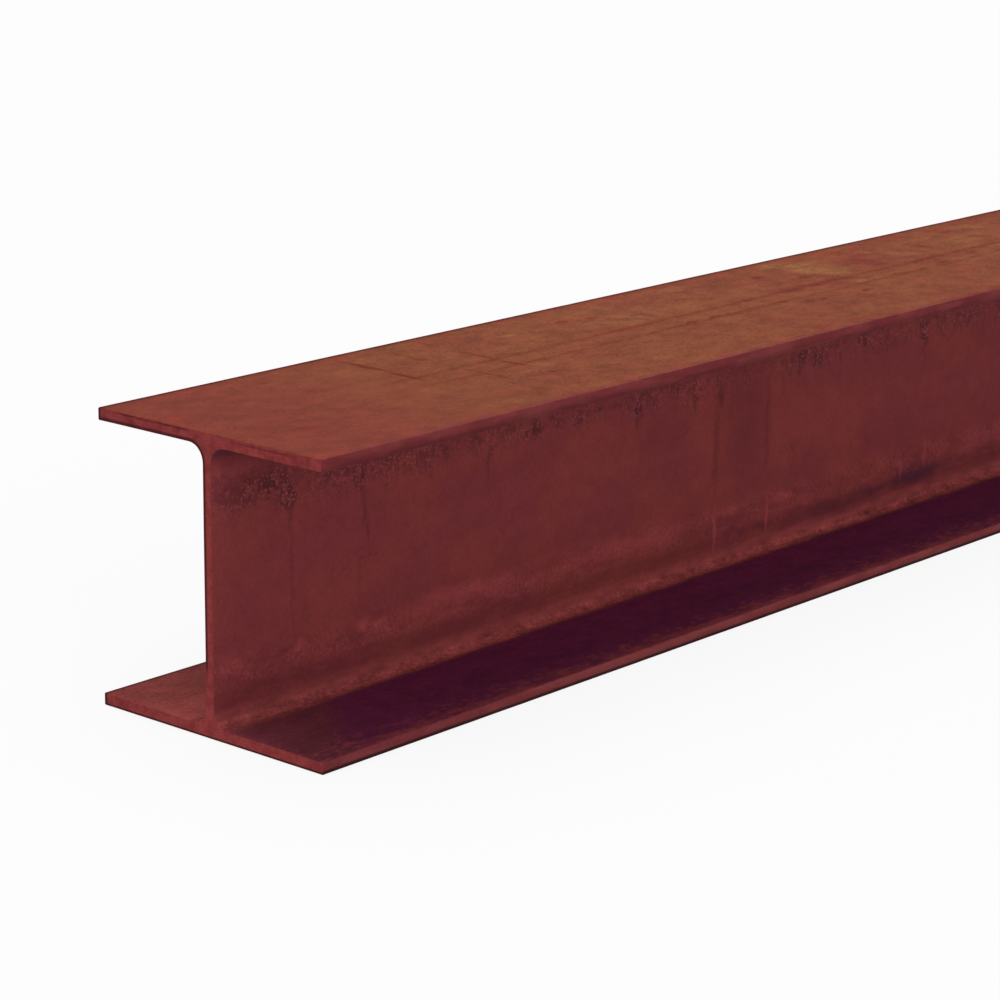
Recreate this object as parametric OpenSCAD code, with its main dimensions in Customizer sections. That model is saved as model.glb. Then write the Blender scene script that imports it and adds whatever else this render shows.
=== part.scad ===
// Hot-rolled steel H-beam, sold by length: two parallel flanges and one web,
// rolled in one piece, with a fillet in each of the four roots.
// Frame: X runs along the beam, Y across the flanges and Z up.
// The origin is the centre of the underside of the bottom flange.

/* [Section] */
// Depth, from the underside of one flange to the top of the other
depth = 152; // [120:1:320]
// Width of each flange
flange_w = 152; // [100:1:320]
// Thickness of each flange
flange_t = 6.6; // [5:0.1:25]
// Thickness of the web
web_t = 5.8; // [4:0.1:20]
// Radius of the fillets between the web and the flanges
root_r = 9; // [5:0.5:20]
// Radius that the rolls leave on the long edges of the flange toes
toe_r = 0.8; // [0.4:0.1:2]

/* [Stock] */
// Length of the beam between its sawn ends
length = 3000; // [500:50:12000]

/* [Hidden] */
$fn = 96;

// How far a piece of the section reaches into its neighbour, so that they fuse
lap = min(web_t, flange_t) / 4;

// One flange, centred on the origin, with its four long edges rounded.
module flange_section() {
  square([flange_w - 2 * toe_r, flange_t], center = true);
  square([flange_w, flange_t - 2 * toe_r], center = true);
  for (side = [-1, 1], face = [-1, 1])
    translate([side * (flange_w / 2 - toe_r), face * (flange_t / 2 - toe_r)]) circle(r = toe_r);
}

// The web, centred between the flanges and lapping into both of them.
module web_section() {
  square([web_t, depth - 2 * flange_t + 2 * lap], center = true);
}

// The fillet of the root at the web's right face and the bottom flange's inner face.
module root_section() {
  translate([web_t / 2, flange_t - depth / 2])
    difference() {
      translate([-lap, -lap]) square(root_r + lap);
      translate([root_r, root_r]) circle(r = root_r);
    }
}

// The whole H, centred on its own middle.
module beam_section() {
  for (face = [-1, 1]) translate([0, face * (depth - flange_t) / 2]) flange_section();
  web_section();
  for (side = [0, 1], face = [0, 1])
    mirror([side, 0]) mirror([0, face]) root_section();
}

// The beam as one solid, lying along X on the underside of its bottom flange.
module h_beam() {
  color("#7c3232")
    translate([-length / 2, 0, depth / 2]) rotate([90, 0, 90]) linear_extrude(length) beam_section();
}

h_beam();
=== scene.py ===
"""A length of hot-rolled steel H-beam in red-oxide rust, on a pale studio floor.

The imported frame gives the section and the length. One detailed mesh stands for the CAD node. It has the same
outline with rounded toes and root fillets, slightly wavy as rolled, with worn and nicked edges and sawn ends.
Each kind of face has a procedural material of its own, worked out in millimetres.
"""

import math
from dataclasses import dataclass

import bpy
import numpy as np
from mathutils import Matrix, Vector, geometry
from mathutils import noise as perlin


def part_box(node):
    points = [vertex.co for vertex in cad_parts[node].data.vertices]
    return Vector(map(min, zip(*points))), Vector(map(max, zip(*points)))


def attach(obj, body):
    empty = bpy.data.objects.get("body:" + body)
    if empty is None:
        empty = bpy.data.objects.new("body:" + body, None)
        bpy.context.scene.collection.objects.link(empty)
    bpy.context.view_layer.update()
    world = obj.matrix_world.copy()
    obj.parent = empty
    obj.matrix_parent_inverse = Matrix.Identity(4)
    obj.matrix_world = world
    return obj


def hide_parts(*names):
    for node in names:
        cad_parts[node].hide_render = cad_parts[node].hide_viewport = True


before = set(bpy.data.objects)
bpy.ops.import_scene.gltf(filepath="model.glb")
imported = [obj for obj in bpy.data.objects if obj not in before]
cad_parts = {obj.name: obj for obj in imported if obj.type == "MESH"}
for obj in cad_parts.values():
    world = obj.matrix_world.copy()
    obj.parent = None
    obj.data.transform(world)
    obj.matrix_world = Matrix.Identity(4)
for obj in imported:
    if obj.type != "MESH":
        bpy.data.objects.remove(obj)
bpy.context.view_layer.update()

NODE = "h_beam"
MM = 0.001


# ---------------------------------------------------------------- section, read from the CAD node


@dataclass
class Section:
    """The beam's sizes in metres."""

    length: float
    width: float
    depth: float
    flange_t: float
    web_t: float
    root_r: float
    toe_r: float


def read_section():
    """Every size of a rolled H, measured from the corners of the CAD node's mesh."""
    low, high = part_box(NODE)
    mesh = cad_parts[NODE].data
    y = np.abs([v.co.y for v in mesh.vertices])
    z = np.array([v.co.z for v in mesh.vertices])
    near = 0.001 * MM
    lower = z < high.z / 2
    web_half = y.min()
    flange_t = z[lower & (y > high.y / 2)].max()
    root_top = z[lower & (y < web_half + near)].min()
    toe_r = z[y > high.y - near].min()
    sizes = (high.x - low.x, 2 * high.y, high.z, flange_t, 2 * web_half, root_top - flange_t, toe_r)
    return Section(*map(float, sizes))


BEAM = read_section()


# ---------------------------------------------------------------- mesh

FACE_STEP = 7 * MM  # spacing of points across the flat faces
END_STEP = 0.7 * MM  # spacing of stations at a sawn end
LONG_STEP = 6.8 * MM  # and along the rest of the beam
GRADE = 1.13  # growth from the one to the other
END_R = 0.35 * MM  # rounding of the sawn ends' edges
CAP_STEP = 2.4 * MM  # spacing of points inside a sawn face
CAP_CLEAR = 1.2 * MM  # and how far they keep from its outline
SAME_POINT = 1e-7  # m; points nearer than this are one
TOE_ARC, ROOT_ARC = 4, 8  # straight pieces in a toe's quarter circle and in a root fillet

# The rolled surface: its waves' lengths along and across the beam in m, its mean depth below the nominal face
# and its waves' heights in mm.
SLOW_WAVE, QUICK_WAVE = (0.21, 0.07), (0.034, 0.02)
WAVE_DEPTH, SLOW_HEIGHT, QUICK_HEIGHT = 0.10, 0.09, 0.03

TOE_WEAR = 0.12  # mean wear of a toe, mm
WEAR_LENGTH = 0.018  # how fast the wear changes along the beam, m
WEAR_FADE = 3.0 * MM  # how far in from a toe the wear reaches

SHARP_ANGLE = 50  # edges sharper than this many degrees aren't shaded smooth


def spaced(a, b, step):
    """Points from a up to, but not including, b."""
    count = max(1, math.ceil((b - a).length / step))
    return [a.lerp(b, i / count) for i in range(count)]


def arc(centre, radius, start, end, count):
    """Points on an arc between two angles in degrees, both ends included."""
    angles = (math.radians(start + (end - start) * i / count) for i in range(count + 1))
    return [centre + radius * Vector((math.cos(t), math.sin(t))) for t in angles]


def quarter_outline():
    """The upper right quarter of the H, clockwise from the middle of the top face to the middle of the web.

    The outline's own origin is the centre of the section.
    """
    b, h, t = BEAM.width / 2, BEAM.depth / 2, BEAM.flange_t
    w, r, c = BEAM.web_t / 2, BEAM.root_r, BEAM.toe_r
    upper_toe = arc(Vector((b - c, h - c)), c, 90, 0, TOE_ARC)
    lower_toe = arc(Vector((b - c, h - t + c)), c, 0, -90, TOE_ARC)
    root = arc(Vector((w + r, h - t - r)), r, 90, 180, ROOT_ARC)
    points = spaced(Vector((0, h)), upper_toe[0], FACE_STEP) + upper_toe
    points += spaced(upper_toe[-1], lower_toe[0], BEAM.flange_t / 3)[1:] + lower_toe
    points += spaced(lower_toe[-1], root[0], FACE_STEP)[1:] + root
    points += spaced(root[-1], Vector((w, 0)), FACE_STEP)[1:]
    return points + [Vector((w, 0))]


def full_outline():
    """The whole H as one loop of points, clockwise, with no point twice."""
    right_top = quarter_outline()
    right_low = [Vector((p.x, -p.y)) for p in reversed(right_top)]
    right = right_top + right_low[1:]
    left = [Vector((-p.x, p.y)) for p in reversed(right)]
    return right + left[1:-1]


def outward_normals(loop):
    """The outline's normal at each of its points, pointing out of the steel."""
    found = []
    for i, p in enumerate(loop):
        along = (p - loop[i - 1]).normalized() + (loop[(i + 1) % len(loop)] - p).normalized()
        found.append(Vector((-along.y, along.x)).normalized())
    return found


def stations():
    """(x, inset) of each ring of points: close together at the sawn ends, whose edges are rounded."""
    half = BEAM.length / 2
    edge = [(END_R * (1 - math.sin(t)), END_R * (1 - math.cos(t))) for t in map(math.radians, (90, 45, 0))]
    reach, step = END_R, END_STEP
    inner = []
    while step < LONG_STEP:
        reach += step
        inner.append(reach)
        step *= GRADE
    count = math.ceil((half - reach) / LONG_STEP)
    inner += [reach + (half - reach) * i / count for i in range(1, count)]
    left = [(d - half, inset) for d, inset in edge] + [(d - half, 0.0) for d in inner]
    return left + [(0.0, 0.0)] + [(-x, inset) for x, inset in reversed(left)]


def rolled_wave(x, p):
    """How far the rolled surface lies below its nominal place: long shallow waves, up to about 0.2 mm."""
    (slow_x, slow_y), (quick_x, quick_y) = SLOW_WAVE, QUICK_WAVE
    slow = perlin.noise(Vector((x / slow_x, p.x / slow_y, p.y / slow_y)))
    quick = perlin.noise(Vector((x / quick_x, p.x / quick_y, p.y / quick_y + 7.0)))
    return (WAVE_DEPTH + SLOW_HEIGHT * slow + QUICK_HEIGHT * quick) * MM


@dataclass
class Nick:
    """A knock on a flange toe: its place along the beam, the toe's side and level, and its length and depth.

    All but the side and the level are in mm. The side is 1 or -1 along Y, and the level 1 above and -1 below.
    """

    at: float
    side: int
    level: int
    length: float
    depth: float


NICKS = (
    Nick(415, -1, 1, 9, 0.5),
    Nick(880, 1, 1, 16, 0.7),
    Nick(1190, -1, -1, 14, 0.6),
    Nick(1640, -1, 1, 18, 0.8),
    Nick(2070, 1, -1, 15, 0.6),
    Nick(2480, -1, 1, 13, 0.7),
    Nick(2810, 1, 1, 16, 0.9),
)


def toe_wear(x, p):
    """How far a toe is worn or knocked back, which fades within a few millimetres of the toe."""
    from_toe = BEAM.width / 2 - abs(p.x)
    fade = math.exp(-((from_toe / WEAR_FADE) ** 2))
    if fade < 0.01:
        return 0.0
    side, level = math.copysign(1, p.x), math.copysign(1, p.y)
    varied = 1 + perlin.noise(Vector((x / WEAR_LENGTH, side * 3.0, level * 5.0)))
    worn = TOE_WEAR * varied * MM
    for nick in NICKS:
        if nick.side == side and nick.level == level:
            off = (x + BEAM.length / 2 - nick.at * MM) / (nick.length / 2 * MM)
            worn += nick.depth * MM * math.exp(-off * off)
    return worn * fade


def beam_rings(loop, normals):
    """Every ring's points in the frame's own axes."""
    lift = BEAM.depth / 2
    rings = []
    for x, inset in stations():
        ring = []
        for p, n in zip(loop, normals):
            worn = p - n * (inset + rolled_wave(x, p))
            worn.x -= math.copysign(toe_wear(x, p), p.x)
            ring.append(Vector((x, worn.x, worn.y + lift)))
        rings.append(ring)
    return rings


def cap_points():
    """Extra points inside a sawn face, on a grid that keeps clear of its outline."""
    w, b, t, h = BEAM.web_t / 2, BEAM.width / 2, BEAM.flange_t, BEAM.depth
    c = CAP_CLEAR
    found = []
    for i in range(int(2 * b / CAP_STEP) + 1):
        for j in range(int(h / CAP_STEP) + 1):
            y, z = -b + (i + 0.5) * CAP_STEP, (j + 0.5) * CAP_STEP
            in_web = abs(y) < w - c and c < z < h - c
            in_flange = (c < z < t - c or c < h - z < t - c) and abs(y) < b - c
            if in_web or in_flange:
                found.append(Vector((y, z)))
    return found


def cap(ring, first, spare):
    """The points that one sawn face adds to its ring, and its triangles, by index into the whole mesh.

    The ring's own points start at index first there, and the added ones at index spare.
    """
    outline = [Vector((p.y, p.z)) for p in ring]
    loop = [list(range(len(outline)))]
    points = outline + cap_points()
    flat, _, triangles, origins, _, _ = geometry.delaunay_2d_cdt(points, [], loop, 1, SAME_POINT)
    index, added = [], []
    for point, sources in zip(flat, origins):
        if sources and sources[0] < len(outline):
            index.append(first + sources[0])
        else:
            index.append(spare + len(added))
            added.append(Vector((ring[0].x, point.x, point.y)))
    return added, [[index[i] for i in triangle] for triangle in triangles]


ZONES = ("top", "inner", "gutter", "toe", "base", "end")


def zone(p):
    """The kind of face that a point of the outline lies on. Faces change part of the way round their arcs."""
    up = p.y + BEAM.depth / 2
    edge = 0.4 * BEAM.toe_r
    if up > BEAM.depth - edge:
        return "top"
    if up < edge:
        return "base"
    if abs(p.x) > BEAM.width / 2 - edge:
        return "toe"
    return "gutter" if up < BEAM.flange_t + 0.3 * BEAM.root_r else "inner"


BAKE_MAP = "OFBake"
MAP_GAP = 8 * MM  # space between the rows of the map
CAP_STRETCH = 4.8  # how much wider the sawn faces are drawn, because their row has the room


class BakeMap:
    """The UV map for baking the materials onto.

    The H is unrolled. Its near half is the lowest row, its far half the next, and the sawn faces the top one.
    """

    def __init__(self, loop):
        self.girth = [0.0]  # distance round the outline to each of its points, and then all the way round
        for i, p in enumerate(loop):
            self.girth.append(self.girth[-1] + (loop[(i + 1) % len(loop)] - p).length)
        self.row = self.girth[-1] + MAP_GAP
        self.height = 2 * self.row + BEAM.depth
        self.corners = []  # u and v of each corner of each face, in the faces' order

    def add_quad(self, i, x0, x1):
        """The face between the outline's points i and i + 1, and two stations on one side of the middle."""
        half = BEAM.length / 2
        far = x0 >= 0
        u0, u1 = ((x + (0 if far else half)) / half for x in (x0, x1))
        v0, v1 = ((far * self.row + g) / self.height for g in self.girth[i : i + 2])
        self.corners += [u0, v0, u1, v0, u1, v1, u0, v1]

    def add_cap_face(self, corners, far):
        """A triangle of a sawn face, whose corners are points of the mesh. The far end's lie on the right."""
        for p in corners:
            u = (p.y + BEAM.width / 2) * CAP_STRETCH / (BEAM.length / 2) + 0.5 * far
            self.corners += [u, (2 * self.row + p.z) / self.height]


def build_mesh():
    """The beam as one closed mesh: rings of quads along it, and a triangulated sawn face at each end."""
    loop = full_outline()
    rings = beam_rings(loop, outward_normals(loop))
    count = len(loop)
    points = [p for ring in rings for p in ring]
    zones = [zone((loop[i] + loop[(i + 1) % count]) / 2) for i in range(count)]
    faces, slots, bake_map = [], [], BakeMap(loop)
    for r in range(len(rings) - 1):
        a, b = r * count, (r + 1) * count
        x0, x1 = rings[r][0].x, rings[r + 1][0].x
        for i in range(count):
            j = (i + 1) % count
            faces.append((a + i, b + i, b + j, a + j))
            slots.append(ZONES.index(zones[i]))
            bake_map.add_quad(i, x0, x1)
    for r, far in ((0, False), (len(rings) - 1, True)):
        added, triangles = cap(rings[r], r * count, len(points))
        points += added
        for triangle in triangles:
            face = triangle if far else triangle[::-1]
            faces.append(face)
            slots.append(ZONES.index("end"))
            bake_map.add_cap_face([points[i] for i in face], far)
    mesh = bpy.data.meshes.new(NODE)
    mesh.from_pydata(points, [], faces)
    mesh.polygons.foreach_set("material_index", slots)
    mesh.uv_layers.new(name=BAKE_MAP).uv.foreach_set("vector", bake_map.corners)
    return mesh


def make_beam():
    """The beam as an object, with a material for each kind of face."""
    mesh = build_mesh()
    for name in ZONES:
        mesh.materials.append(FACES[name]())
    mesh.shade_smooth()
    mesh.set_sharp_from_angle(angle=math.radians(SHARP_ANGLE))
    beam = bpy.data.objects.new("beam", mesh)
    bpy.context.scene.collection.objects.link(beam)
    even = beam.modifiers.new("even_shading", "WEIGHTED_NORMAL")
    even.keep_sharp = True
    return beam


# ---------------------------------------------------------------- node arithmetic


class Field:
    """A value that varies over a surface. Arithmetic with fields adds nodes to their material."""

    def __init__(self, tree, socket):
        self.tree = tree
        self.socket = socket

    def __add__(self, other):
        return maths("ADD", self, other)

    def __radd__(self, other):
        return maths("ADD", other, self)

    def __sub__(self, other):
        return maths("SUBTRACT", self, other)

    def __rsub__(self, other):
        return maths("SUBTRACT", other, self)

    def __mul__(self, other):
        return maths("MULTIPLY", self, other)

    def __rmul__(self, other):
        return maths("MULTIPLY", other, self)

    def __abs__(self):
        return maths("ABSOLUTE", self)


def add_node(tree, kind, settings=None, inputs=None):
    """A new node. Each input is linked to a field or set to a plain value."""
    node = tree.nodes.new(kind)
    for name, value in (settings or {}).items():
        setattr(node, name, value)
    for key, value in (inputs or {}).items():
        if isinstance(value, Field):
            tree.links.new(value.socket, node.inputs[key])
        else:
            node.inputs[key].default_value = value
    return node


def tree_of(*values):
    """The node tree of the first field among some fields and numbers."""
    return next(value.tree for value in values if isinstance(value, Field))


def maths(operation, *values):
    """The result of a Math node on some fields and numbers."""
    tree = tree_of(*values)
    node = add_node(tree, "ShaderNodeMath", {"operation": operation}, dict(enumerate(values)))
    return Field(tree, node.outputs[0])


def ease(value, start, end):
    """0 on the start side and 1 on the end side, with a smooth change between the two."""
    inputs = {"Value": value, "From Min": start, "From Max": end}
    node = add_node(value.tree, "ShaderNodeMapRange", {"interpolation_type": "SMOOTHSTEP"}, inputs)
    return Field(value.tree, node.outputs["Result"])


def both(*masks):
    """Where every mask is."""
    result = masks[0]
    for mask in masks[1:]:
        result = result * mask
    return result


def either(*masks):
    """Where any of the masks is."""
    result = masks[0]
    for mask in masks[1:]:
        result = maths("MAXIMUM", result, mask)
    return result


def blend(first, second, amount):
    """The first colour, turning into the second where amount is 1."""
    node = add_node(amount.tree, "ShaderNodeMix", {"data_type": "RGBA"}, {0: amount, 6: first, 7: second})
    return Field(amount.tree, node.outputs[2])


def shade(colour, amount):
    """The colour made lighter or darker. An amount of 1 leaves it as it is."""
    node = add_node(amount.tree, "ShaderNodeHueSaturation", None, {"Color": colour, "Value": amount})
    return Field(amount.tree, node.outputs[0])


def moved(place, scale, shift=(0, 0, 0)):
    """The place with each axis scaled, then shifted."""
    inputs = {"Vector": place, "Scale": scale, "Location": shift}
    return Field(place.tree, add_node(place.tree, "ShaderNodeMapping", None, inputs).outputs[0])


SEED_STEP = (7.31, 3.17, 5.73)  # how far apart in a texture two seeds lie


def texture_place(place, size, stretch, seed):
    """The place in steps of size mm, with some axes stretched, somewhere far off for each seed."""
    scale = tuple(1 / (size * s) for s in stretch)
    return moved(place, scale, tuple(seed * step for step in SEED_STEP))


def noise(place, size, stretch=(1, 1, 1), seed=0, detail=2.0):
    """Soft noise from 0 to 1, mostly near 0.5. Features are about size mm, longer along a stretched axis."""
    inputs = {"Vector": texture_place(place, size, stretch, seed), "Scale": 1.0, "Detail": detail}
    return Field(place.tree, add_node(place.tree, "ShaderNodeTexNoise", None, inputs).outputs["Fac"])


def patches(place, size, level, soft=0.06, **settings):
    """Separate soft-edged patches of noise: half of the surface at a level of 0.5, and few at 0.65."""
    return ease(noise(place, size, **settings), level - soft, level + soft)


def speckle(place, size, radius, seed=0):
    """Separate dots, about one in each cell of size mm."""
    inputs = {"Vector": texture_place(place, size, (1, 1, 1), seed), "Scale": 1.0}
    node = add_node(place.tree, "ShaderNodeTexVoronoi", None, inputs)
    return ease(Field(place.tree, node.outputs["Distance"]), radius, radius * 0.4)


def warped(place, size, amount, seed=0):
    """The place pushed about by some amount of mm, so that what is drawn at it gets uneven edges."""
    inputs = {"Vector": texture_place(place, size, (1, 1, 1), seed), "Scale": 1.0}
    cloud = add_node(place.tree, "ShaderNodeTexNoise", None, inputs)
    push = moved(Field(place.tree, cloud.outputs["Color"]), (4 * amount,) * 3, (-2 * amount,) * 3)
    inputs = {"Vector": place, "Location": push}
    return Field(place.tree, add_node(place.tree, "ShaderNodeMapping", None, inputs).outputs[0])


@dataclass
class Mark:
    """An elliptical mark on a face: its middle and half sizes in mm, and its strength.

    u runs along the beam from the near end. v is the place across the top face, or the height up the web.
    """

    u: float
    v: float
    half_u: float
    half_v: float
    strength: float


def mark_group():
    """A node group that draws one elliptical mark over a mask of the marks before it."""
    group = bpy.data.node_groups.new("mark", "ShaderNodeTree")
    for name, kind in (
        ("Before", "NodeSocketFloat"),
        ("Place", "NodeSocketVector"),
        ("Scale", "NodeSocketVector"),
        ("Shift", "NodeSocketVector"),
        ("Strength", "NodeSocketFloat"),
        ("Inner", "NodeSocketFloat"),
    ):
        group.interface.new_socket(name, in_out="INPUT", socket_type=kind)
    group.interface.new_socket("Mask", in_out="OUTPUT", socket_type="NodeSocketFloat")
    given, result = group.nodes.new("NodeGroupInput"), group.nodes.new("NodeGroupOutput")

    def take(name):
        return Field(group, given.outputs[name])

    inputs = {0: take("Place"), 1: take("Scale"), 2: take("Shift")}
    local = add_node(group, "ShaderNodeVectorMath", {"operation": "MULTIPLY_ADD"}, inputs)
    inputs = {0: Field(group, local.outputs["Vector"])}
    distance = add_node(group, "ShaderNodeVectorMath", {"operation": "LENGTH"}, inputs)
    inputs = {"Value": Field(group, distance.outputs["Value"]), "From Min": 1.0, "From Max": take("Inner")}
    inputs["To Max"] = take("Strength")
    fade = add_node(group, "ShaderNodeMapRange", {"interpolation_type": "SMOOTHSTEP"}, inputs)
    strongest = maths("MAXIMUM", take("Before"), Field(group, fade.outputs["Result"]))
    group.links.new(strongest.socket, result.inputs["Mask"])
    return group


MARK_GROUP = mark_group()


def drawn(marks, place, edge=0.65, upright=False):
    """All the marks of a list as one mask. edge is the share of its half size over which a mark fades out.

    The marks lie on the top face, or upright on the web.
    """
    total = 0.0
    for mark in marks:
        u, v = 1 / mark.half_u, 1 / mark.half_v
        inputs = {
            "Before": total,
            "Place": place,
            "Scale": (u, 0, v) if upright else (u, v, 0),
            "Shift": (-mark.u * u, 0, -mark.v * v) if upright else (-mark.u * u, -mark.v * v, 0),
            "Strength": mark.strength,
            "Inner": 1 - edge,
        }
        node = add_node(place.tree, "ShaderNodeGroup", {"node_tree": MARK_GROUP}, inputs)
        total = Field(place.tree, node.outputs[0])
    return total


def srgb(red, green, blue):
    """A linear colour from the three numbers from 0 to 255 that a screen shows it with."""
    channels = (c / 255 for c in (red, green, blue))
    return (*(c / 12.92 if c <= 0.04045 else ((c + 0.055) / 1.055) ** 2.4 for c in channels), 1.0)


# ---------------------------------------------------------------- the steel's surface, in mm

LENGTH, DEPTH, HALF_WIDTH = BEAM.length / MM, BEAM.depth / MM, BEAM.width / MM / 2
FLANGE_T, HALF_WEB, ROOT_R = BEAM.flange_t / MM, BEAM.web_t / MM / 2, BEAM.root_r / MM

CLOUDS = 0.07  # share of the broad clouds in a face's lightness
MARKS_FADE, MARKS_END = 600.0, 760.0  # the stretch from the near end that has marks of its own fades out here
GRAIN_HEIGHT, MOTTLE_HEIGHT = 0.06, 0.11  # how high the grain and the mottles stand
ROUGHNESS, GRAIN_ROUGHNESS, RUBBED = 0.83, 0.1, 0.14  # the base, what the grain adds and what wear takes off
SPECULAR = 0.08


class Surface:
    """One face's material: its nodes, where a point lies on the beam in mm, and the noises all faces use."""

    def __init__(self, name):
        self.material = bpy.data.materials.new(name)
        self.material.use_nodes = True
        tree = self.material.node_tree
        coords = Field(tree, add_node(tree, "ShaderNodeTexCoord").outputs["Object"])
        self.place = moved(coords, (1 / MM,) * 3, (LENGTH / 2, 0, 0))
        parts = add_node(tree, "ShaderNodeSeparateXYZ", None, {0: self.place})
        self.along, self.across, self.up = (Field(tree, socket) for socket in parts.outputs)
        self.out = abs(self.across)  # distance from the middle of the web
        self.front = ease(self.across, 1.0, -1.0)  # 1 on the front side of the web and 0 behind it
        self.unseen = ease(self.along - self.across * 0.9, MARKS_FADE, MARKS_END)  # 1 past the marks
        self.grain = noise(self.place, 2.2, detail=1)
        self.mottle = noise(self.place, 9, stretch=(1.3, 1, 1), detail=2, seed=1)
        self.cloud = noise(self.place, 55, stretch=(1.8, 1, 1), detail=1, seed=2)
        self.tint = noise(self.place, 30, stretch=(1.4, 1, 1), detail=1, seed=3)

    def tone(self, lift, mottle, grain):
        """A lightness that varies in broad clouds, in mottles and in a fine grain, about 1 plus the lift."""
        level = 1 - (mottle + grain + CLOUDS) / 2
        return self.mottle * mottle + self.grain * grain + self.cloud * CLOUDS + (lift + level)

    def rust(self):
        """The height of the rust's own roughness in mm."""
        return self.grain * GRAIN_HEIGHT + self.mottle * MOTTLE_HEIGHT

    def finish(self, colour, height, smooth=0.0):
        """Paints the face. height is in mm, and the steel is a little less rough where smooth is 1."""
        tree = self.material.node_tree
        roughness = self.grain * GRAIN_ROUGHNESS + ROUGHNESS - smooth * RUBBED
        bump = add_node(tree, "ShaderNodeBump", None, {"Strength": 1.0, "Distance": MM, "Height": height})
        shader = tree.nodes["Principled BSDF"]
        shader.inputs["Specular IOR Level"].default_value = SPECULAR
        tree.links.new(colour.socket, shader.inputs["Base Color"])
        tree.links.new(roughness.socket, shader.inputs["Roughness"])
        tree.links.new(bump.outputs["Normal"], shader.inputs["Normal"])
        return self.material


# ---------------------------------------------------------------- top face

TOP_RED = srgb(109, 48, 37)
TOP_ORANGE = srgb(114, 62, 38)
TOP_OCHRE = srgb(126, 80, 48)
TOP_SCAR = srgb(92, 28, 6)
TOP_PLUM = srgb(107, 40, 34)
# painted shade for the flanges' back edges
TOP_RIM_SHADE = srgb(72, 20, 14)
TOP_BRIGHT = srgb(130, 44, 33)
TOP_EDGE = srgb(108, 50, 47)

TOP_SCARS = (
    Mark(155, 46, 3.4, 25, 1.0),
    Mark(153.5, 14, 3.2, 19, 1.0),
    Mark(188, 52, 3.5, 18, 0.25),
    Mark(187, -12, 2.6, 23, 0.65),
    Mark(215.5, 20, 2.8, 18, 0.6),
    Mark(215, -6, 2.8, 15, 0.8),
    Mark(214, -31, 3.4, 3.6, 0.8),
    Mark(217, 60, 3, 12, 0.5),
    Mark(163, -30, 3, 18, 0.22),
    Mark(179, -54, 6, 7, 0.3),
    Mark(92, 56, 10, 3, 0.45),
    Mark(95, 25, 5, 5, 0.3),
    Mark(188, 36, 5, 5, 0.8),
    Mark(313, 46, 7, 5, 0.8),
    Mark(333, 41, 6, 4, 0.6),
    Mark(363, -6, 7, 2.8, 0.8),
    Mark(384, -7, 9, 3, 1.0),
    Mark(408, 37, 8, 4, 0.6),
    Mark(419, 27, 8, 5, 0.3),
    Mark(445, -8, 7, 3.4, 1.0),
    Mark(457, -19, 6, 3.6, 0.6),
    Mark(469, -20, 7, 3, 0.8),
    Mark(493, 46, 7, 5, 0.75),
    Mark(513, 27, 8, 5, 0.75),
    Mark(508, -22, 8, 3.8, 0.85),
    Mark(560, -6, 8, 2.6, 0.7),
    Mark(588, -8, 9, 3, 0.6),
    Mark(614, -5, 9, 3.2, 0.85),
    Mark(651, 36, 8, 17, 0.5),
    Mark(655, 2, 9, 3, 0.55),
)

TOP_PLUMS = (
    Mark(22, -20, 20, 9, 0.5),
    Mark(42, -30, 20, 7, 0.55),
    Mark(52, -8, 16, 5, 0.7),
    Mark(95, 24, 14, 10, 0.3),
    Mark(120, -10, 16, 7, 0.3),
    Mark(178, 15, 18, 6, 0.35),
    Mark(470, 12, 28, 9, 0.7),
    Mark(500, 8, 60, 9, 0.75),
    Mark(515, 2, 26, 8, 0.5),
    Mark(515, 40, 20, 16, 0.1),
    Mark(577, 32, 18, 24, 0.7),
    Mark(596, 44, 12, 10, 0.75),
    Mark(608, 9, 26, 5, 0.6),
    Mark(704, 54, 14, 6, 0.8),
    Mark(400, -68, 30, 7, 0.45),
    Mark(440, -70, 40, 5, 0.35),
)

TOP_OCHRES = (
    Mark(137, 38, 15, 15, 0.15),
    Mark(265, 35, 20, 22, 0.12),
    Mark(264, 47, 9, 5, 0.9),
    Mark(345, 27, 52, 17, 0.6),
    Mark(340, 52, 40, 10, 0.25),
    Mark(395, 26, 12, 12, 0.3),
    Mark(425, 60, 24, 8, 0.95),
    Mark(455, 30, 16, 8, 0.12),
    Mark(541, 42, 23, 26, 1.0),
    Mark(529, 58, 21, 12, 1.0),
    Mark(546, 24, 16, 11, 1.0),
    Mark(537, 0, 22, 7, 1.0),
    Mark(621, 28, 15, 13, 0.5),
    Mark(612, 47, 15, 10, 0.75),
    Mark(700, 30, 40, 18, 0.45),
    Mark(728, 52, 30, 10, 0.5),
    Mark(650, -14, 40, 10, 0.35),
    Mark(210, -24, 26, 12, 0.3),
    Mark(255, -36, 34, 14, 0.25),
    Mark(290, -40, 18, 10, 0.15),
)

TOP_REDS = (
    Mark(156, 62, 4, 10, 0.8),
    Mark(6, 30, 7, 26, 0.35),
    Mark(333, 41, 6, 4, 0.9),
    Mark(320, 67, 8, 5, 0.6),
    Mark(417, 68, 16, 4, 0.3),
    Mark(445, 69, 12, 3, 0.15),
    Mark(545, 65, 14, 4, 0.5),
    Mark(590, 66, 20, 6, 0.6),
    Mark(612, 62, 12, 5, 0.8),
    Mark(665, 69, 22, 5, 0.5),
    Mark(700, 62, 14, 5, 0.55),
    Mark(745, 56, 14, 6, 0.5),
    Mark(470, 44, 16, 10, 0.12),
)


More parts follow.
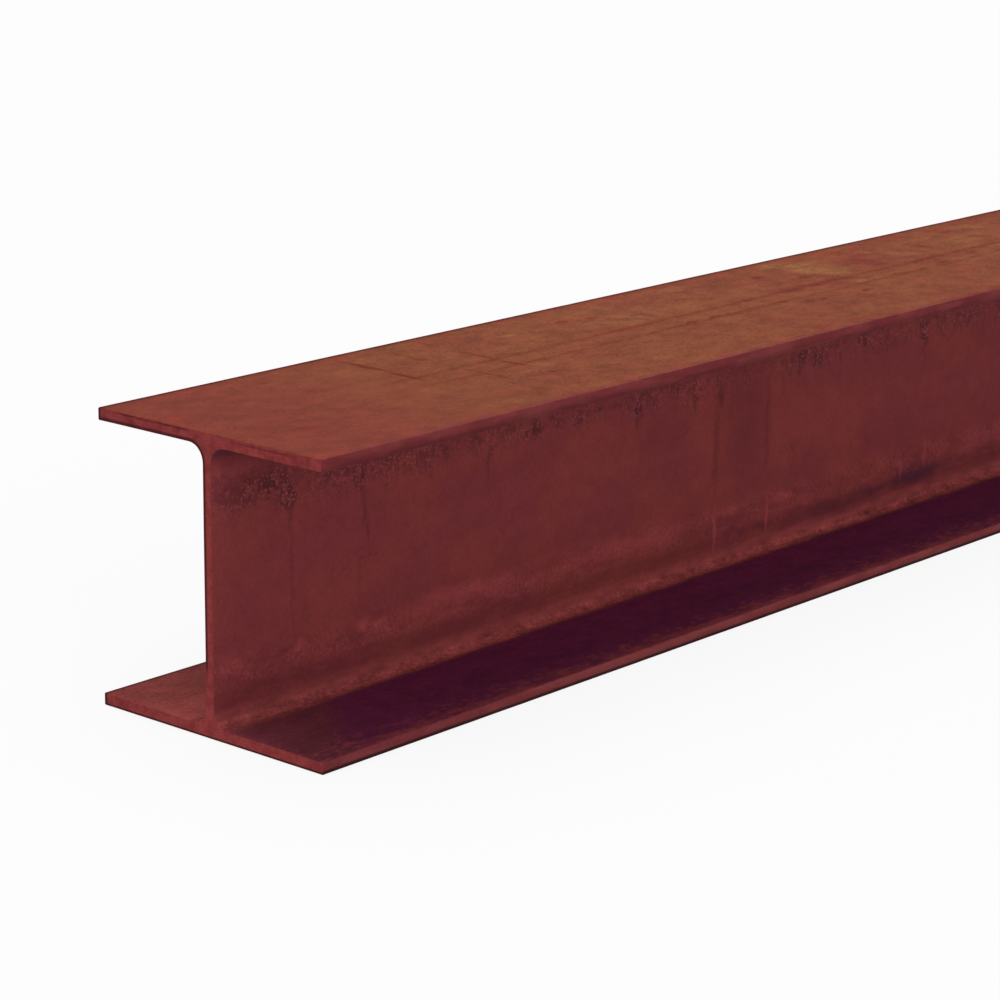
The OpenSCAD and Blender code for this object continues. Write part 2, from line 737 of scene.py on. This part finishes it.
def long_line(s, middle, half, seed):
    """A dark line along the whole top face, a little wavy, that fades in and out."""
    line_place = moved(s.place, (1, 0, 0), (0, seed * 50, 0))
    wander = noise(line_place, 34, seed=seed) * 3.2 - 1.6
    fades = patches(line_place, 40, 0.46, soft=0.2, seed=seed + 4) * 0.4 + 0.6
    dashes = patches(line_place, 7, 0.5, soft=0.2, seed=seed + 11) * 0.35 + 0.65
    return both(ease(abs(s.across + wander - middle), half, 0.0), fades, dashes, ease(s.along, 120.0, 165.0))


def top_face():
    """Orange-brown with ochre and plum patches, bars across, two long roll lines and dark dots."""
    s = Surface("top_face")
    crisp = warped(s.place, 9, 1.6, seed=1)
    ragged = warped(s.place, 26, 7, seed=2)
    cool = either(ease(s.along, 190.0, 40.0), ease(s.along, LENGTH - 160, LENGTH - 30))
    warm = ease(s.tint + s.cloud * 0.7, 0.62, 1.08)
    colour = blend(TOP_ORANGE, TOP_RED, either(cool, 0.5 - warm * 0.38))

    spread = patches(s.place, 48, 0.57, stretch=(1.6, 1, 1), seed=5, soft=0.14)
    spread = both(spread, s.unseen, ease(s.out, 76.0, 60.0))
    ochre = either(drawn(TOP_OCHRES, ragged, edge=0.75), spread * 0.6)
    colour = blend(colour, TOP_OCHRE, both(ochre, ease(s.mottle, 0.2, 0.55)) * 0.8)
    spread = both(patches(s.place, 36, 0.59, stretch=(1.8, 1, 1), seed=6, soft=0.12), s.unseen)
    colour = blend(colour, TOP_PLUM, either(drawn(TOP_PLUMS, ragged, edge=0.9), spread * 0.55))
    spread = both(ease(s.out, 62.0, 73.0), patches(s.place, 14, 0.52, stretch=(1.8, 1, 1), seed=7, soft=0.1))
    colour = blend(colour, TOP_BRIGHT, either(drawn(TOP_REDS, ragged, edge=0.9), spread * 0.35))

    lines = either(long_line(s, 8.6, 4.4, 1), long_line(s, -8.6, 3.8, 2) * 0.8)
    strokes = patches(s.place, 4, 0.66, stretch=(1, 14, 1), seed=8)
    strokes = both(strokes, patches(s.place, 60, 0.53, seed=9), s.unseen)
    dots = both(patches(s.place, 7, 0.66, stretch=(1.6, 1, 1), seed=10), either(s.unseen, 0.35))
    scars = either(drawn(TOP_SCARS, crisp), lines * 0.8, strokes * 0.8, dots * 0.6)
    colour = blend(colour, TOP_SCAR, scars * 0.8)

    # painted shade: the top face darkens towards its back edge, which faces away from the light
    back_edge_shade = either(ease(s.across, 71.4, 73.4) * 0.9, ease(s.across, 67.0, 73.0) * 0.25)
    colour = blend(colour, TOP_RIM_SHADE, back_edge_shade)
    colour = blend(colour, TOP_EDGE, ease(s.across, -70.0, -73.5) * 0.6)
    coarse = both(s.grain * 0.4 + s.mottle * 0.2 - 0.3, ease(s.along, 120.0, 200.0))
    # painted shade: the front edge is darkened a little, against the light its rounding catches
    coarse = coarse - ease(s.across, -71.0, -74.5) * 0.06
    return s.finish(shade(colour, s.tone(0, 0.62, 0.55) + coarse), s.rust())


# ---------------------------------------------------------------- web and the inner faces of the flanges

WEB_RED = srgb(103, 41, 40)
WEB_PLUM = srgb(98, 38, 41)
WEB_DARK = srgb(56, 19, 23)
WEB_LIGHT = srgb(128, 52, 54)
# painted shade's colour, under the top flange and in the corner above the lower root fillet
WEB_SHADE_PURPLE = srgb(62, 24, 38)
ROOT_RED = srgb(129, 56, 56)
PIT_LIGHT = srgb(150, 82, 84)

WEB_SCALE = (
    Mark(40, 119, 19, 12, 1.0),
    Mark(13, 119, 17, 12, 0.55),
    Mark(29, 120, 20, 11, 0.8),
    Mark(51, 112, 8, 12, 1.0),
    Mark(82, 116, 22, 8, 0.75),
    Mark(103, 112, 5, 12, 1.0),
    Mark(125, 116, 18, 8, 0.75),
    Mark(140, 114, 10, 7, 0.7),
    Mark(158, 116, 8, 6, 0.6),
    Mark(197, 115, 6, 8, 0.8),
    Mark(208, 114, 6, 6, 0.6),
    Mark(233, 113, 12, 8, 0.9),
    Mark(255, 115, 14, 7, 0.6),
    Mark(272, 114, 10, 7, 0.8),
    Mark(288, 113, 7, 8, 0.7),
    Mark(305, 114, 8, 8, 0.5),
    Mark(321, 110, 8, 12, 1.0),
    Mark(350, 116, 12, 5, 0.5),
    Mark(372, 112, 6, 10, 0.85),
    Mark(455, 114, 8, 7, 0.6),
    Mark(474, 115, 11, 9, 1.0),
    Mark(490, 113, 10, 9, 1.0),
    Mark(535, 114, 12, 8, 1.0),
    Mark(551, 112, 6, 6, 0.6),
    Mark(600, 112, 8, 14, 1.0),
    Mark(583, 113, 5, 8, 0.6),
    Mark(620, 114, 8, 6, 0.5),
    Mark(648, 115, 11, 9, 1.0),
    Mark(662, 110, 5, 10, 0.9),
)

WEB_STREAKS = (
    Mark(53.5, 70, 1.6, 52, 0.3),
    Mark(52, 102, 3, 12, 0.5),
    Mark(104.5, 94, 2.6, 16, 0.5),
    Mark(107, 83, 2, 8, 0.6),
    Mark(101, 60, 2, 24, 0.2),
    Mark(197, 100, 2.2, 14, 0.4),
    Mark(320, 101, 2.4, 8, 0.5),
    Mark(372, 104, 3, 9, 0.6),
    Mark(393, 78, 5, 46, 0.5),
    Mark(396, 104, 5, 16, 0.7),
    Mark(441, 84, 5, 48, 0.42),
    Mark(418, 88, 32, 60, 0.28),
    Mark(340, 84, 50, 40, 0.1),
    Mark(456, 100, 3, 12, 0.15),
    Mark(602, 94, 3, 14, 0.15),
    Mark(664, 96, 3, 14, 0.15),
    Mark(318, 50, 1.4, 30, 0.12),
    Mark(30, 20, 60, 5, 0.1),
    Mark(510, 19, 70, 7, 0.3),
)

WEB_DOTS = (
    Mark(86, 70, 9, 9, 0.7),
    Mark(107, 70, 14, 9, 0.6),
    Mark(75, 92, 5, 4, 0.6),
    Mark(56, 96, 5, 5, 0.5),
    Mark(210, 66, 10, 6, 0.4),
    Mark(362, 71, 14, 5, 0.55),
    Mark(323, 70, 4, 4, 0.6),
    Mark(467, 60, 9, 9, 0.65),
    Mark(160, 96, 7, 5, 0.4),
)

WEB_LIGHTS = (
    Mark(180, 35, 80, 8, 0.7),
    Mark(310, 34, 80, 7, 0.6),
    Mark(104, 37, 9, 5, 0.9),
    Mark(116, 32, 10, 5, 0.7),
    Mark(58, 34, 6, 5, 0.7),
    Mark(12, 33, 12, 8, 0.4),
    Mark(150, 36, 26, 5, 0.5),
    Mark(165, 28, 26, 4, 0.4),
    Mark(205, 32, 16, 6, 0.5),
    Mark(235, 30, 14, 7, 0.6),
    Mark(262, 32, 20, 5, 0.5),
    Mark(308, 30, 26, 5, 0.5),
    Mark(346, 30, 22, 6, 0.5),
    Mark(410, 34, 16, 5, 0.6),
    Mark(460, 32, 18, 6, 0.8),
    Mark(480, 29, 12, 7, 0.5),
    Mark(580, 31, 8, 4, 0.4),
    Mark(605, 32, 6, 6, 0.5),
    Mark(4, 134, 8, 8, 0.6),
    Mark(16, 133, 22, 6, 0.5),
)

WEB_RUNS = (
    Mark(393, 26, 2.6, 20, 0.95),
    Mark(443, 26, 2.4, 17, 1.0),
    Mark(580, 30, 2.2, 13, 0.7),
    Mark(606, 33, 2.4, 13, 0.8),
)

# painted shade: dark patches in the corner just above the lower root fillet
WEB_PURPLE_SHADES = (
    Mark(598, 21, 52, 9.5, 1.0),
    Mark(556, 20, 40, 5.5, 0.65),
    Mark(510, 15, 74, 9, 0.4),
    Mark(616, 22, 20, 7, 0.7),
    Mark(440, 18, 14, 3.6, 0.45),
    Mark(415, 20, 16, 4, 0.4),
)


def root_colour(s):
    """The lighter red that lies along the lower root fillet, on the web and on the flange alike."""
    streaks = noise(s.place, 3.4, stretch=(5, 1, 1), seed=31, detail=1)
    start = ease(s.along, 110.0, 10.0)
    lift = both(ease(s.up, 10.5, 7.0), 0.18 - start * 0.3) - both(ease(s.up, 8.0, 12.0), start) * 0.14
    return shade(ROOT_RED, s.tone(lift - 0.58, 0.5, 0.28) + streaks * 0.6)


def inner_face():
    """Web, upper root fillets and underside of the top flange."""
    s = Surface("inner_face")
    side = moved(s.place, (1, 0, 1))
    crisp = warped(side, 6, 1.3, seed=3)
    ragged = warped(side, 18, 4, seed=4)
    named = both(s.front, 1 - s.unseen)  # 1 where the faces have marks of their own
    colour = blend(WEB_RED, WEB_PLUM, ease(s.tint + s.cloud * 0.4, 0.55, 0.85))

    edge = s.up + noise(s.place, 7, stretch=(1, 1, 2.5), seed=12, detail=3) * 34 - 17
    thick = patches(moved(s.place, (1, 1, 0)), 34, 0.48, soft=0.12, seed=13)
    loose = both(ease(edge, 99.0, 116.0), ease(s.up, 139.0, 128.0), 0.4 + thick * 0.6, 1 - named * 0.2)
    scale = either(loose * 0.8, both(drawn(WEB_SCALE, ragged, edge=0.75, upright=True), named))
    lumps = patches(s.place, 3.0, 0.48, soft=0.09, seed=14, stretch=(1, 1, 1.3))
    colour = blend(colour, WEB_DARK, both(scale, lumps * 0.62 + 0.14))

    runs = patches(s.place, 4.2, 0.65, soft=0.05, stretch=(1, 1, 16), seed=15)
    reach = ease(s.up + patches(moved(s.place, (1, 1, 0)), 11, 0.5, soft=0.2, seed=16) * 60, 92.0, 132.0)
    fallen = both(runs, reach, 1 - named)
    streaks = either(both(drawn(WEB_STREAKS, crisp, edge=0.9, upright=True), named), fallen * 0.5)
    colour = blend(colour, WEB_DARK, streaks * 0.75)

    dotted = both(drawn(WEB_DOTS, ragged, edge=0.8, upright=True), named)
    dotted = either(dotted, both(thick, 1 - named) * 0.5)
    colour = blend(colour, WEB_DARK, both(dotted, patches(s.place, 2.6, 0.56, soft=0.08, seed=17)) * 0.4)

    smears = patches(s.place, 11, 0.47, soft=0.1, stretch=(2.4, 1, 1), seed=18)
    smudge = both(ease(s.up, 46.0, 34.0), ease(s.up, 20.0, 27.0), smears)
    colour = blend(colour, WEB_LIGHT, both(smudge, 1 - named * 0.55) * 0.45)

    # a broken dark band on the web just above the lower root fillet
    level = s.up + noise(moved(s.place, (1, 1, 0)), 40, seed=19) * 7 - 3.5
    broken = patches(s.place, 5, 0.5, soft=0.1, stretch=(3, 1, 0.8), seed=20)
    low_dark_band = both(ease(level, 26.0, 21.0), ease(level, 11.5, 17.5), 0.2 + broken * 0.8)
    grit = both(patches(s.place, 2.0, 0.55, seed=33), ease(s.up, 42.0, 34.0)) * 0.22
    colour = blend(colour, WEB_DARK, either(low_dark_band * 0.24, grit))
    # painted shade: dark purple patches just above the lower root fillet, and along the dark band there past
    # the marked stretch
    purple = both(drawn(WEB_PURPLE_SHADES, ragged, edge=0.9, upright=True), named)
    purple = either(purple, both(low_dark_band, thick, 1 - named) * 0.7)
    colour = blend(colour, WEB_SHADE_PURPLE, purple * 0.9)
    lights = both(drawn(WEB_LIGHTS, ragged, edge=0.9, upright=True), named)
    lights = either(lights, both(drawn(WEB_RUNS, crisp, edge=0.9, upright=True), named))
    colour = blend(colour, WEB_LIGHT, lights * 0.72)

    # painted shade: dark purple just under the top flange, on the upper root fillets and the flange's
    # underside
    under = ease(s.up, 136.5, 142.0)
    colour = blend(colour, WEB_SHADE_PURPLE, under * 0.65)
    pits = both(speckle(s.place, 1.9, 0.44, 5), either(scale, smudge * 0.45), 1 - under)
    # painted light: the upper web is lightened where the top flange shades it, less so near the near end
    high = both(ease(s.up, 90.0, 116.0), 0.35 + ease(s.along, 25.0, 70.0) * 0.65)
    colour = shade(blend(colour, PIT_LIGHT, pits * 0.35), s.tone(high * 0.2, 0.3, 0.3))
    colour = blend(colour, root_colour(s), ease(s.up, 15.5, 9.5))
    return s.finish(colour, s.rust() + both(lumps, ease(s.up, 15.0, 30.0)) * 0.08, smooth=scale)


# ---------------------------------------------------------------- upper face of the lower flange

# partly its own dark stain, partly painted shadow of the top flange
GUTTER_DARK = srgb(70, 18, 44)
GUTTER_BROWN = srgb(71, 27, 35)
BACK_RED = srgb(115, 50, 46)
TOE_SCURF = srgb(104, 42, 42)


def gutter_face():
    """The lower flange's upper face: light by the root, dark where it is dirty and where the top flange's
    shadow is painted, ragged at the toe.
    """
    s = Surface("gutter_face")
    wave = noise(s.place, 28, seed=21) * 4 - 2
    inner = ease(s.out + wave + s.mottle * 3 - 1.5, 10.8, 17.2)
    outer = ease(s.out + noise(s.place, 8, stretch=(2.6, 1, 1), seed=22, detail=2) * 26 - 13, 75.0, 63.0)
    ragged_end = noise(s.place, 14, seed=23) * 22 - 11
    front_start = both(ease(s.along - (s.across + 53) * 0.84 + ragged_end, 22.0, 52.0), s.front)
    back_start = both(ease(s.along + ragged_end, 120.0, 230.0), 1 - s.front)
    # the dark band: where it is dirty and where the top flange's shadow is painted; it begins a little way in
    # from each end and is weaker by the toe
    dirt_and_shadow = both(inner, either(front_start, back_start), ease(LENGTH - s.along + ragged_end, 12.0, 50.0))
    clean = blend(BACK_RED, GUTTER_BROWN, s.front)
    scurf = both(ease(s.out, 60.0, 74.0), 1 - outer, ease(s.along, 20.0, 70.0)) * 0.7
    colour = blend(blend(root_colour(s), clean, inner), TOE_SCURF, scurf)
    fleck = patches(s.place, 3, 0.56, soft=0.09, stretch=(1.8, 1, 1), seed=24)
    fleck = both(fleck, 0.1 + ease(s.out, 56.0, 66.0) * 0.44)
    colour = blend(blend(colour, GUTTER_DARK, both(dirt_and_shadow, 0.25 + outer * 0.75)), TOE_SCURF, fleck)
    colour = blend(colour, TOE_SCURF, both(ease(s.along, 5.0, 1.0), s.front) * 0.15)
    # painted shade along the back toe's upper edge, which faces away from the light
    colour = blend(colour, TOP_RIM_SHADE, ease(s.across, 72.4, 74.0) * 0.8)
    # painted light: lighter on the band's side by the root, against the shade in the corner by the web
    colour = shade(colour, s.tone(both(ease(s.out, 52.0, 24.0), inner) * 0.4, 0.8, 0.95))
    return s.finish(colour, s.rust(), smooth=dirt_and_shadow)


# ---------------------------------------------------------------- toes, underside and sawn ends

TOE_RED = srgb(88, 31, 34)
LOW_TOE_RED = srgb(88, 34, 37)
# painted shade on the toes
EDGE_SHADE = srgb(34, 8, 10)
EDGE_PINK = srgb(150, 72, 66)
SAWN_RED = srgb(114, 41, 42)
SAWN_LIGHT = srgb(136, 58, 56)
SAWN_DARK = srgb(58, 15, 17)


def toe_face():
    """The flanges' edges: painted shade along their lower corners and over the back toes, painted light
    towards their upper corners, with paler rubbed patches.
    """
    s = Surface("toe_face")
    low = ease(s.up, 80.0, 60.0)
    colour = blend(TOE_RED, LOW_TOE_RED, low)
    worn = patches(s.place, 10, 0.5, soft=0.1, stretch=(3, 1, 0.6), seed=25)
    colour = blend(colour, EDGE_PINK, worn * 0.1)
    from_lower = s.up - (1 - low) * (DEPTH - FLANGE_T)
    # painted shade along each toe's lower corner, and over the back toes
    lower_corner_shade = both(ease(from_lower, 2.5, 1.6), 0.2 + low * 0.8)
    colour = blend(colour, EDGE_SHADE, either(lower_corner_shade, ease(s.across, 0.0, 1.0) * 0.6) * 0.9)
    # painted shade and light: darker by the lower corner, lighter towards the upper one
    lift = ease(from_lower, 1.0, 5.5) * 0.2 - 0.1
    return s.finish(shade(colour, s.tone(lift, 0.4, 0.3)), s.rust(), smooth=worn)


def base_face():
    """The underside, rubbed and dirty from lying on the ground."""
    s = Surface("base_face")
    rubbed = patches(s.place, 20, 0.5, stretch=(3, 1, 1), seed=29, detail=4)
    colour = blend(WEB_RED, GUTTER_BROWN, rubbed * 0.7)
    colour = blend(colour, WEB_DARK, patches(s.place, 12, 0.62, seed=30, detail=4) * 0.5)
    return s.finish(shade(colour, s.tone(0, 0.4, 0.3)), s.rust(), smooth=rubbed)


def from_channel(s):
    """Distance in mm, within an end face, from the channel behind the web with its two root fillets."""
    side = (HALF_WEB + ROOT_R) - s.across
    height = abs(s.up - DEPTH / 2) - (DEPTH / 2 - FLANGE_T - ROOT_R)
    side, height = maths("MAXIMUM", side, 0.0), maths("MAXIMUM", height, 0.0)
    return maths("SQRT", side * side + height * height) - ROOT_R


def sawn_end():
    """A sawn end: even, brighter red, with faint saw lines, a dark broken line along the burred edge under the
    top face that is partly painted shade, and painted shade along its bottom edge, the back toe tips and the
    back channel.
    """
    s = Surface("sawn_end")
    lines = maths("SINE", (s.up + s.across * 0.16) * 4.4 + s.mottle * 3) * 0.5 + 0.5
    pale = both(patches(s.place, 6, 0.48, soft=0.12, seed=26), 0.6 + lines * 0.4)
    colour = blend(SAWN_RED, SAWN_LIGHT, pale * 0.6)
    colour = blend(colour, SAWN_DARK, patches(s.place, 5, 0.64, soft=0.07, seed=27) * 0.22)
    drop = noise(moved(s.place, (0, 1, 0)), 7, seed=28) * 0.8 + (DEPTH - 1.2 - s.front * 1.1)
    broken = either(
        both(ease(s.across, 10.0, 16.0), ease(s.across, 66.0, 58.0)),
        both(ease(s.across, -15.0, -18.0), ease(s.across, -64.0, -52.0)),
    )
    dashes = patches(moved(s.place, (0, 1, 0)), 9, 0.44, soft=0.08, seed=32)
    # a dark broken line along the burred top edge: partly dark bare steel, partly painted shade
    burr_and_shade = both(ease(abs(s.up - drop), 1.0, 0.3), broken, 0.62 + dashes * 0.38, 0.62 - s.front * 0.22)
    # painted shade along the end's edges by the back channel, at the back toe tips and along the bottom
    channel_rim_shade = both(ease(from_channel(s), 2.5, 1.3), ease(s.up, 28.0, 38.0)) * 0.85
    tip_rim_shade = ease(s.across, HALF_WIDTH - 2.6, HALF_WIDTH - 1.3)
    colour = blend(colour, SAWN_DARK, either(burr_and_shade, channel_rim_shade, tip_rim_shade, ease(s.up, 1.6, 0.9)))
    height = s.rust() * 0.7 + lines * 0.03
    return s.finish(shade(colour, s.tone(0, 0.4, 0.35)), height)


FACES = {
    "top": top_face,
    "inner": inner_face,
    "gutter": gutter_face,
    "toe": toe_face,
    "base": base_face,
    "end": sawn_end,
}


# ---------------------------------------------------------------- stage, lights and camera

FLOOR_HALF = 60.0  # half the width of the floor, m
FLOOR_DROP = 0.2 * MM  # keeps the floor's face off the beam's
FLOOR_GREY, FLOOR_GLOW, FLOOR_ROUGH = 0.07, 0.88, 0.9
WHITE = 0.985  # brightness of the room where the camera sees it
ROOM_LIGHT = 0.55  # brightness of the light that it gives


def make_floor():
    """A floor that is nearly white by its own glow, so that the beam's shadow on it stays faint."""
    mesh = bpy.data.meshes.new("floor")
    s = FLOOR_HALF
    mesh.from_pydata([(-s, -s, 0), (s, -s, 0), (s, s, 0), (-s, s, 0)], [], [(0, 1, 2, 3)])
    floor = bpy.data.objects.new("floor", mesh)
    bpy.context.scene.collection.objects.link(floor)
    floor.location.z = -FLOOR_DROP
    material = bpy.data.materials.new("pale_floor")
    material.use_nodes = True
    shader = material.node_tree.nodes["Principled BSDF"]
    shader.inputs["Base Color"].default_value = (FLOOR_GREY, FLOOR_GREY, FLOOR_GREY, 1)
    shader.inputs["Roughness"].default_value = FLOOR_ROUGH
    shader.inputs["Specular IOR Level"].default_value = 0.0
    shader.inputs["Emission Color"].default_value = (1, 1, 1, 1)
    shader.inputs["Emission Strength"].default_value = FLOOR_GLOW
    mesh.materials.append(material)


def make_world():
    """A white room: one brightness where the camera sees it, another for the light that it gives."""
    world = bpy.data.worlds.new("studio")
    world.use_nodes = True
    bpy.context.scene.world = world
    tree = world.node_tree
    tree.nodes.clear()
    out = tree.nodes.new("ShaderNodeOutputWorld")
    mix = tree.nodes.new("ShaderNodeMixShader")
    path = tree.nodes.new("ShaderNodeLightPath")
    seen, light = tree.nodes.new("ShaderNodeBackground"), tree.nodes.new("ShaderNodeBackground")
    seen.inputs["Color"].default_value = (1, 1, 1, 1)
    seen.inputs["Strength"].default_value = WHITE
    light.inputs["Color"].default_value = (1, 1, 1, 1)
    light.inputs["Strength"].default_value = ROOM_LIGHT
    tree.links.new(path.outputs["Is Camera Ray"], mix.inputs["Fac"])
    tree.links.new(light.outputs[0], mix.inputs[1])
    tree.links.new(seen.outputs[0], mix.inputs[2])
    tree.links.new(mix.outputs[0], out.inputs["Surface"])


def soft_sun(name, azimuth, elevation, spread, strength):
    """Even light from a broad patch of the room. Angles in degrees; azimuth 0 comes from +X, 90 from +Y."""
    data = bpy.data.lights.new(name, "SUN")
    data.energy = strength
    data.angle = math.radians(spread)
    lamp = bpy.data.objects.new(name, data)
    bpy.context.scene.collection.objects.link(lamp)
    a, e = math.radians(azimuth), math.radians(elevation)
    source = Vector((math.cos(a) * math.cos(e), math.sin(a) * math.cos(e), math.sin(e)))
    lamp.rotation_euler = source.to_track_quat("Z", "Y").to_euler()
    lamp.visible_camera = False


def make_lights():
    soft_sun("overhead", azimuth=100, elevation=78, spread=70, strength=2.35)
    soft_sun("front_left", azimuth=-108, elevation=18, spread=50, strength=1.75)


LENS, SENSOR = 112.8, 36  # mm
CLIP = 0.05, 200  # what the camera sees lies between these distances, m
CAMERA_FROM_END = Vector((-0.9855, -1.0431, 0.5003))  # from the middle of the near end's lower edge, m
HEADING, PITCH, ROLL = math.radians(41.10), math.radians(14.884), math.radians(0.606)


def make_camera():
    """The photograph's view: the near end at the left, and the beam running back out of the picture."""
    data = bpy.data.cameras.new("camera")
    data.sensor_width = SENSOR
    data.lens = LENS
    camera = bpy.data.objects.new("camera", data)
    bpy.context.scene.collection.objects.link(camera)
    flat = math.cos(PITCH)
    forward = Vector((math.cos(HEADING) * flat, math.sin(HEADING) * flat, -math.sin(PITCH)))
    level = forward.cross(Vector((0, 0, 1))).normalized()
    up = level.cross(forward)
    right = level * math.cos(ROLL) + up * math.sin(ROLL)
    up = up * math.cos(ROLL) - level * math.sin(ROLL)
    turn = Matrix((right, up, -forward)).transposed().to_4x4()
    camera.matrix_world = Matrix.Translation(Vector((-BEAM.length / 2, 0, 0)) + CAMERA_FROM_END) @ turn
    data.clip_start, data.clip_end = CLIP
    bpy.context.scene.camera = camera


bpy.context.scene.view_settings.view_transform = "Standard"
beam = make_beam()
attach(beam, "root")
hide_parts(NODE)
make_floor()
make_world()
make_lights()
make_camera()
